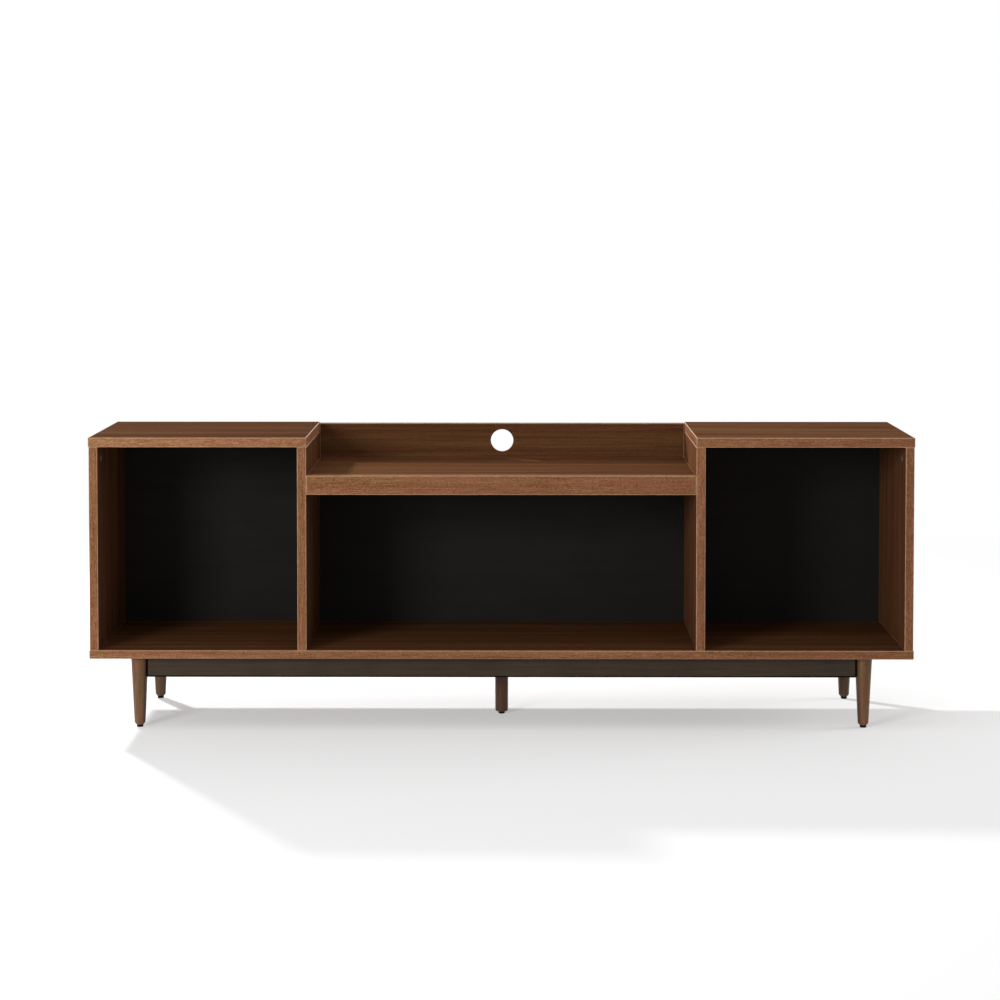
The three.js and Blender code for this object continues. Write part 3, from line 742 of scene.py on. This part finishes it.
# Base frame: four rails between the legs and a bearer across the middle, solid wood stained nearly black,
# set on edge under the bottom board. Saw kerfs near the corners take the lips of the steel brackets.
def stained(name, grain, dark, middle, light, shine=0.2):
    """Close-grained wood under a dark brown stain that has taken unevenly."""
    material, place, shader = finish(name, Specular_IOR_Level=shine)
    along = Vector(grain)
    across = Vector((1, 1, 1)) - along
    streaks = place.noise(tuple(along / 0.12 + across / 0.004), 3)
    fibres = place.noise(tuple(along / 0.03 + across / 0.0008), 2)
    clouds = place.noise((14, 14, 14), 2)
    tone = streaks * 0.45 + fibres * 0.25 + clouds * 0.3
    stops = [(0.3, dark), (0.5, middle), (0.7, light)]
    tone.node("ValToRGB", {"stops": stops}, {"Fac": tone}).into(shader, "Base Color")
    (0.5 + (streaks - 0.5) * 0.3).into(shader, "Roughness")
    (fibres * 0.5 + streaks * 0.5).bump(shader, 0.2, 0.00015)
    return material


stain = paint(46, 36, 27), paint(62, 50, 38), paint(77, 62, 46)
# The near-black tones on the rails' lower arrises are painted shade.
painted_shade_tones = paint(10, 8, 6), paint(18, 14, 10), paint(28, 21, 16)
stain_x = stained("stained_wood_along_x", X, *stain)
stain_y = stained("stained_wood_along_y", Y, *stain)
shaded_arris_stain = stained("stain_pooled_on_arris", X, *painted_shade_tones, shine=0.03)
corners = {"front_left": (-1, -1), "front_right": (1, -1), "back_right": (1, 1), "back_left": (-1, 1)}
BRACKET_THICK = 0.002
LEG_BOLT = 0.004  # radius


def foot_axis(name):
    """The middle of a foot, which stands on its leg's axis."""
    low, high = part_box(name)
    return (low + high) / 2


def bracket_kerfs(rail, wood):
    """Kerfs for the bracket lips that reach into a rail, and the graze of the leg bolts' bores."""
    low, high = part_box(rail)
    long = 0 if high.x - low.x > high.y - low.y else 1
    short = 1 - long
    bore_length = 0.06
    cutters = []
    for name, signs in corners.items():
        lip_low, lip_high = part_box(name + "_bracket")
        if any(lip_low[axis] > high[axis] or lip_high[axis] < low[axis] for axis in (0, 1)):
            continue
        end = lip_low[long] if signs[long] > 0 else lip_high[long] - BRACKET_THICK
        start, stop = low - past_all_round, high + past_all_round
        start[long], stop[long] = end - PLAY, end + BRACKET_THICK + PLAY
        if signs[short] > 0:
            stop[short] = lip_high[short] + PLAY
        else:
            start[short] = lip_low[short] - PLAY
        cutters.append(box_cutter(start, stop, wood))
        leg = foot_axis(name + "_foot")
        leg.z = (lip_low.z + lip_high.z) / 2
        inward = -Vector((*signs, 0)).normalized()
        cutters.append(round_cutter(leg, leg + inward * bore_length, LEG_BOLT + PLAY, wood))
    return cutters


def faces_down(side):
    """Whether part of an arris is on the underside, where dark painted shade goes on it."""
    return side.normal.z < -0.2


rails = {
    "front_base_rail": stain_x,
    "back_base_rail": stain_x,
    "left_base_rail": stain_y,
    "right_base_rail": stain_y,
    "centre_bearer": stain_y,
}
for name, wood in rails.items():
    low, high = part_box(name)
    edges = [wood] * 4 + [shaded_arris_stain]
    rail = eased_board("finished_" + name, low, high, wood, edges, arris=0.0025, in_painted_shade=faces_down)
    if name != "centre_bearer":
        cut(rail, bracket_kerfs(name, wood))
    fitted(rail, "stained_rail", name)


# Legs, turned from solid wood and stained walnut: four tapered corner legs with a chamfered end and two
# flats where the rails meet them, and a nearly straight leg under the bearer.
def leg_finish():
    """Walnut stain in streaks and patches, with painted shade on the inner sides and on the legs behind the
    front pair.
    """
    material, root, shader = finish("stained_turned_wood", Specular_IOR_Level=0.3)
    wander = root.noise((30, 30, 8), 2, "Color") - (0.5, 0.5, 0.5)
    place = root + wander * (0.004, 0.004, 0)
    growth = place.noise((110, 110, 5), 3)
    streaks = place.noise((380, 380, 9), 3)
    fibres = place.noise((1500, 1500, 40), 2)
    patches = place.noise((70, 70, 24), 3)
    pores = place.noise((1900, 1900, 110), 1).above(0.62, 0.05)
    tone = growth * 0.35 + streaks * 0.3 + fibres * 0.15 + patches * 0.2
    stops = [(0.3, paint(80, 50, 29)), (0.5, paint(120, 82, 52)), (0.7, paint(156, 113, 77))]
    wood = tone.node("ValToRGB", {"stops": stops}, {"Fac": tone})
    red_brown, green_brown, pore_brown = paint(124, 70, 40), paint(96, 80, 48), paint(48, 31, 20)
    wood = (patches.above(0.56, 0.05) * 0.4).blend(wood, red_brown, "HUE")
    wood = ((1 - patches).above(0.56, 0.05) * 0.5).blend(wood, green_brown, "HUE")
    wood = (pores * 0.4).blend(wood, pore_brown)
    # The rear and centre legs are painted darker: painted shade.
    painted_shade_behind_front = root.dot(Y).above(-0.08, 0.02)
    wood = (painted_shade_behind_front * 0.45).blend(wood, paint(36, 31, 26))
    outward = root.node("NewGeometry", {}, {}, "Normal")
    side = root.dot(X).alone("SIGN") * outward.dot(X)
    # The sides facing inwards are painted darker: painted shade.
    inner = (side * -1 + (growth - 0.5) * 0.3).above(0.72, 0.22) * 0.75
    inner.blend(wood, paint(30, 21, 15)).into(shader, "Base Color")
    (0.42 + (streaks - 0.5) * 0.3 + pores * 0.1).into(shader, "Roughness")
    (fibres * 0.4 + streaks * 0.3 - pores * 0.5).bump(shader, 0.2, 0.00015)
    return material


leg_wood = leg_finish()
BUSH_RADIUS, STEM_RADIUS = 0.0055, 0.003


def rounded(profile, radius, steps=4):
    """The same profile with each corner between its ends eased by short chords."""
    points = [Vector(point) for point in profile]
    eased = [points[0]]
    for before, corner, after in zip(points, points[1:], points[2:]):
        arriving, leaving = (before - corner), (after - corner)
        reach = min(radius, arriving.length / 2, leaving.length / 2)
        start, end = corner + arriving.normalized() * reach, corner + leaving.normalized() * reach
        for step in range(steps + 1):
            share = step / steps
            eased.append(start * (1 - share) ** 2 + corner * 2 * share * (1 - share) + end * share ** 2)
    return [*eased, points[-1]]


def leg_shape(low, high, centre, face, end, chamfer, head):
    """A leg on its axis: the radii of its end face, of its end above the chamfer, and of its head."""
    profile = [(0, low.z), (face, low.z), (end, low.z + chamfer), (head, high.z), (0, high.z)]
    shape = turned(rounded(profile, radius=0.0006), sides=96)
    return moved(shape, Matrix.Translation((centre.x, centre.y, 0)))


def foot_bores(foot):
    """The stepped bore in a leg's end for the bush and for the stem of the foot."""
    bush_low, bush_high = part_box(foot + "_bush")
    stem_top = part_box(foot)[1].z
    centre = foot_axis(foot)
    x, y = centre.x, centre.y
    return [
        round_cutter((x, y, bush_low.z - PAST), (x, y, bush_high.z + PLAY), BUSH_RADIUS + PLAY, leg_wood),
        round_cutter((x, y, bush_low.z), (x, y, stem_top + PLAY), STEM_RADIUS + 2 * PLAY, leg_wood),
    ]


LEG_REACH = 0.03  # from a leg's axis to past its surface
BOLT_END = 0.004  # how near the leg's axis its bolt ends
reach = Vector((LEG_REACH, LEG_REACH, 0))
for name, (right, back) in corners.items():
    low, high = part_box(name + "_leg")
    centre = foot_axis(name + "_foot")
    shape = leg_shape(low, high, centre, face=0.0078, end=0.01125, chamfer=0.0045, head=0.0182)
    leg = made(f"finished_{name}_leg", shape, leg_wood)
    flats = []
    for axis, outward in enumerate((right, back)):
        rail_low, rail_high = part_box(name.split("_")[axis] + "_base_rail")
        flat = (rail_high[axis] + SEAT) if outward > 0 else (rail_low[axis] - SEAT)
        start, end = centre - reach, centre + reach
        start.z, end.z = rail_low.z - SEAT, high.z + PAST
        start[axis], end[axis] = sorted((flat, flat - outward * LEG_REACH))
        flats.append(box_cutter(start, end, leg_wood))
    bracket_low, bracket_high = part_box(name + "_bracket")
    level = Vector((centre.x, centre.y, (bracket_low.z + bracket_high.z) / 2))
    inward = Vector((-right, -back, 0)).normalized()
    bore_start, bore_end = level + inward * (BOLT_END - PLAY), level + inward * LEG_REACH
    bolt_bore = round_cutter(bore_start, bore_end, LEG_BOLT + PLAY, leg_wood)
    cut(leg, [*flats, bolt_bore, *foot_bores(name + "_foot")])
    fitted(leg, "leg_wood", name + "_leg")

STUD = 0.004  # radius
low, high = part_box("centre_leg")
centre = foot_axis("centre_foot")
shape = leg_shape(low, high, centre, face=0.0115, end=0.0137, chamfer=0.0025, head=0.0142)
centre_leg = made("finished_centre_leg", shape, leg_wood)
stud_low, stud_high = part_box("centre_leg_stud")
bore_start, bore_end = (centre.x, centre.y, stud_low.z - PLAY), (centre.x, centre.y, high.z + PAST)
stud_bore = round_cutter(bore_start, bore_end, STUD + PLAY, leg_wood)
cut(centre_leg, [stud_bore, *foot_bores("centre_foot")])
fitted(centre_leg, "leg_wood", "centre_leg")
stud = threaded(STUD, stud_low.z, stud_high.z, depth=0.0006, pitch=0.00125)
moved(stud, Matrix.Translation((centre.x, centre.y, 0)))
fitted(made("finished_centre_leg_stud", stud, plated_steel), "plated_steel", "centre_leg_stud")


# Corner brackets and leg bolts. A zinc-plated plate is bent across each corner, with its lips in the rails'
# kerfs and a screw in each wing, and a flanged bolt through it draws the leg into the corner.
def bent_plate(line, thickness, bend, steps=6):
    """The outline of a plate along a line in plan, with rounded bends."""
    path = rounded(line, bend, steps)
    left, right = [], []
    for index, point in enumerate(path):
        before = path[max(index - 1, 0)]
        after = path[min(index + 1, len(path) - 1)]
        way = (Vector(after) - Vector(before)).normalized()
        square = Vector((-way.y, way.x)) * thickness / 2
        left.append(Vector(point) + square)
        right.append(Vector(point) - square)
    return [*right, *reversed(left)]


def pan_screw(head, height, length):
    """A pan-head screw along -Z from a seat at z = 0, with a cross sunk in its head."""
    shank, tip, taper = 0.0017, 0.0004, 0.002
    crown = head * 0.55
    turning = turned(rounded([
        (0, -length), (tip, -length), (shank, taper - length), (shank, 0), (head, 0),
        (head, height * 0.5), (crown, height), (0, height),
    ], radius=0.0005), sides=32)
    cross = cross_cutters(crown, half=0.0005, low=height * 0.35, high=height + PAST, material=plated_steel)
    return cut(made("screw", turning, plated_steel), cross)


def copies(template, places, name):
    """One object that holds a copy of a small fastener at each place."""
    whole = bmesh.new()
    for place in places:
        part = template.data.copy()
        part.transform(place)
        whole.from_mesh(part)
        bpy.data.meshes.remove(part)
    bpy.data.objects.remove(template)
    return made(name, whole, plated_steel)


def facing(point, out):
    """A place at a point, with Z turned to face outwards."""
    return Matrix.Translation(point) @ Vector(out).to_track_quat("Z", "Y").to_matrix().to_4x4()


def hexagon(corner):
    """The outline of a hexagon, from its middle to a corner."""
    return [polar(corner, math.tau * step / 6) for step in range(6)]


RAIL_HALF = 0.009
REACH, WING, LIP, BEND = 0.050, 0.024, 0.005, 0.003  # in plan, from the leg's axis and along the plate
WING_HOLE, BORE, THROUGH = 0.00225, 0.006, 0.02
FLANGE, HEX_HALF, PLAIN_SHANK = 0.009, 0.0065, 0.012
FLANGE_EDGE, FLANGE_TOP, HEAD_FOOT, HEAD_TOP = 0.0012, 0.0016, 0.0014, 0.0069  # above the bracket
for name, (right, back) in corners.items():
    low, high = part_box(name + "_bracket")
    leg = foot_axis(name + "_foot")
    line_level = RAIL_HALF + SEAT + BRACKET_THICK / 2
    end = REACH + WING
    line = [
        (end, RAIL_HALF - LIP), (end, line_level), (REACH, line_level),
        (line_level, REACH), (line_level, end), (RAIL_HALF - LIP, end),
    ]
    level = (low.z + high.z) / 2
    plate = prism(bent_plate(line, BRACKET_THICK, BEND), low.z, high.z)
    turn = Matrix.Translation((leg.x, leg.y, 0)) @ Matrix.Diagonal((-right, -back, 1, 1))
    bracket = made(f"finished_{name}_bracket", moved(plate, turn), plated_steel)
    inward = Vector((-right, -back, 0)).normalized()
    heart = Vector((leg.x, leg.y, level))
    seat = (REACH + line_level) / math.sqrt(2)
    bore_start, bore_end = heart + inward * (seat - BORE), heart + inward * (seat + BORE)
    wing = REACH + WING / 2
    wings = [
        (Vector((leg.x - right * wing, leg.y, level)), Vector((0, -back, 0))),
        (Vector((leg.x, leg.y - back * wing, level)), Vector((-right, 0, 0))),
    ]
    bolt_hole = round_cutter(bore_start, bore_end, LEG_BOLT + PLAY, plated_steel)
    screw_holes = [round_cutter(at, at + out * THROUGH, WING_HOLE, plated_steel) for at, out in wings]
    cut(bracket, [bolt_hole, *screw_holes])
    soften = bracket.modifiers.new("pressed edges", "BEVEL")
    soften.width = 0.0002
    soften.segments = 2
    soften.angle_limit = math.radians(50)
    fitted(bracket, "plated_steel", name + "_bracket")
    face = RAIL_HALF + SEAT + BRACKET_THICK
    places = [facing(at + out * face, out) for at, out in wings]
    screws = copies(pan_screw(head=0.0042, height=0.0024, length=0.014), places, name + "_bracket_screws")
    fitted(screws, "plated_steel")

    seat_face = seat + BRACKET_THICK / 2 + SEAT
    thread_end = seat_face - PLAIN_SHANK
    thread = threaded(LEG_BOLT, BOLT_END, thread_end, depth=0.0006, pitch=0.00125)
    plain = turned([(0, thread_end), (LEG_BOLT, thread_end), (LEG_BOLT, seat_face), (0, seat_face)])
    washer = turned(rounded([
        (0, seat_face), (FLANGE, seat_face), (FLANGE, seat_face + FLANGE_EDGE),
        (HEX_HALF, seat_face + FLANGE_TOP), (0, seat_face + FLANGE_TOP),
    ], radius=0.0002))
    head_low, head_high = seat_face + HEAD_FOOT, seat_face + HEAD_TOP
    head = prism(hexagon(HEX_HALF / math.cos(math.pi / 6)), head_low, head_high)
    top_edges = [edge for edge in head.edges if all(end.co.z > head_high - PLAY for end in edge.verts)]
    bmesh.ops.bevel(head, geom=top_edges, offset=0.0008, segments=2, profile=0.5, affect="EDGES")
    bolt = moved(joined([thread, plain, washer, head]), facing(heart, inward))
    fitted(made(f"finished_{name}_leg_bolt", bolt, plated_steel), "plated_steel", name + "_leg_bolt")


# Screws of the carcase. Long countersunk screws with a hexagonal socket come up through the bottom board
# into the foot of each upright; their heads lie just inside the underside.
OVERLAP = 0.0004  # a thread starts a little inside the body that carries it
sunk, shank_end, point = 0.0003, 0.018, 0.048
socket, socket_deep = 0.0023, 0.003
slope = SCREW_HEAD - SCREW_SHANK
body = turned([
    (0, sunk), (SCREW_HEAD, sunk), (SCREW_SHANK, sunk + slope), (SCREW_SHANK, shank_end), (0, shank_end),
], sides=32)
thread = threaded(SCREW_SHANK, shank_end - OVERLAP, point, depth=0.0011, pitch=0.003, sides=16, cuts=6)
template = made("screw", joined([body, thread]), plated_steel)
cut(template, [made("cutter", prism(hexagon(socket), -PAST, socket_deep), plated_steel)])
places = [Matrix.Translation(place) for upright in uprights for place in screw_places(upright)]
fitted(copies(template, places, "carcase_screws"), "plated_steel")


# Bushes and levelling feet. A ribbed brass bush is pressed into each leg's end, and a steel stem moulded into
# a black plastic pad screws into it; each foot can be screwed out by 10 mm.
brass = metal("machined_brass", paint(176, 138, 70), paint(214, 178, 104), roughness=0.34, cast=0.15)


def pad_plastic():
    """Moulded nylon: black, with a fine spark-eroded skin and a worn, greyer sole."""
    material, place, shader = finish("moulded_black_plastic", Specular_IOR_Level=0.12)
    skin = place.noise((2600, 2600, 2600), 3)
    scuffs = place.noise((300, 300, 900), 3)
    sole = (0.0012 - place.dot(Z)).above(0.0, 0.0006)
    wear = sole * scuffs * 0.7
    wear.blend(paint(15, 15, 16), paint(58, 56, 54)).into(shader, "Base Color")
    (0.46 + (skin - 0.5) * 0.2 + wear * 0.3).into(shader, "Roughness")
    skin.bump(shader, 0.3, 0.0001)
    return material


plastic = pad_plastic()
PAD_TOP = 0.005
CHAMFER, RIB, GROOVE = 0.0003, 0.0008, 0.0008
for foot in (*(name + "_foot" for name in corners), "centre_foot"):
    low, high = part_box(foot)
    bush_low, bush_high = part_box(foot + "_bush")
    centre = foot_axis(foot)
    place = Matrix.Translation((centre.x, centre.y, 0))
    inner, lead_in = STEM_RADIUS + PLAY, 0.0004
    outline = [(inner + lead_in, bush_low.z), (BUSH_RADIUS - CHAMFER, bush_low.z)]
    outline += [(BUSH_RADIUS, bush_low.z + CHAMFER)]
    for groove in (1, 2):
        level = bush_low.z + (bush_high.z - bush_low.z) * groove / 3
        outline += [(BUSH_RADIUS, level - RIB), (BUSH_RADIUS - GROOVE, level), (BUSH_RADIUS, level + RIB)]
    outline += [(BUSH_RADIUS, bush_high.z), (inner, bush_high.z), (inner, bush_low.z + lead_in)]
    bush = moved(turned(outline, hollow=True), place)
    fitted(made(f"finished_{foot}_bush", bush, brass), "bush_brass", foot + "_bush")

    radius = (high.x - low.x) / 2
    sole, shoulder = 0.0008, 0.0012
    pad = turned(rounded([
        (0, 0), (radius - sole, 0), (radius, sole), (radius, PAD_TOP - shoulder),
        (radius - shoulder, PAD_TOP), (STEM_RADIUS, PAD_TOP), (0, PAD_TOP),
    ], radius=0.0005), sides=64)
    stem = threaded(STEM_RADIUS, PAD_TOP - OVERLAP, high.z, depth=0.0005, pitch=0.001)
    for side in stem.faces:
        side.material_index = 1
    whole = moved(joined([pad, stem]), place)
    fitted(made("finished_" + foot, whole, plastic, plated_steel), "foot_plastic", foot, body=foot)


# Studio: a seamless white floor that keeps the soft shadows, a small high lamp behind on the left, a broad
# fill from the front left, weaker lamps overhead and on the right, and even light from all round.
def seen_directly(tree):
    """1 where a thing is seen straight, in a polished face or through glass, and 0 for the light it gives."""
    rays = ("Is Camera Ray", "Is Glossy Ray", "Is Transmission Ray")
    camera_ray, glossy_ray, glass_ray = (Wire(tree).node("LightPath", {}, {}, ray) for ray in rays)
    return camera_ray.either(glossy_ray).either(glass_ray)


def studio_floor():
    """White paper that keeps the cabinet's shadow, and fades into the plain background far from it."""
    material, place, shader = finish("seamless_paper")
    tree = material.node_tree
    tree.nodes.remove(shader)
    seen = seen_directly(tree)
    away = place.node("VectorMath", {"operation": "LENGTH"}, {0: place}, "Value")
    white, pale = (1, 1, 1, 1), (0.85, 0.85, 0.85, 1)
    paper = seen.node("BsdfDiffuse", {}, {"Color": pale})
    lift = seen.node("Emission", {}, {"Color": white, "Strength": 0.37})
    lifted = seen.node("AddShader", {}, {0: paper, 1: lift})
    near = seen.node("MixShader", {}, {0: seen, 1: paper, 2: lifted})
    plain = seen.node("Emission", {}, {"Color": white, "Strength": 1.0})
    far_off = away.above(2.6, 0.9)
    whole = seen.node("MixShader", {}, {0: far_off * seen, 1: near, 2: plain})
    whole.into(tree.nodes["Material Output"], "Surface")
    return material


floor_shape = bmesh.new()
bmesh.ops.create_grid(floor_shape, x_segments=1, y_segments=1, size=30)
floor = made("studio_floor", floor_shape, studio_floor())


def lamp(name, place, target, size, watts):
    """A square lamp turned towards a point, which the camera doesn't see."""
    light = bpy.data.lights.new(name, "AREA")
    light.size = size
    light.energy = watts
    holder = bpy.data.objects.new(name, light)
    holder.location = place
    holder.visible_camera = False
    holder.rotation_euler = (Vector(target) - Vector(place)).to_track_quat("-Z", "Y").to_euler()
    scene.collection.objects.link(holder)


lamp("small_back_lamp", (-2.3, 2.75, 2.3), (0, 0, 0.2), size=0.25, watts=145)
lamp("overhead", (0, -0.9, 3.0), (0, 0, 0.3), size=1.8, watts=10)
lamp("front_left_fill", (-2.8, -4.6, 1.6), (-0.1, 0, 0.35), size=1.4, watts=110)
lamp("right_side_fill", (3.2, 0.5, 1.3), (0.85, 0, 0.35), size=1.2, watts=18)
world = bpy.data.worlds.new("studio")
world.use_nodes = True
scene.world = world
background = world.node_tree.nodes["Background"]
background.inputs["Strength"].default_value = 1.0
light_given, background_seen = (0.31, 0.31, 0.31, 1), (1, 1, 1, 1)
seen_directly(world.node_tree).blend(light_given, background_seen).into(background, "Color")
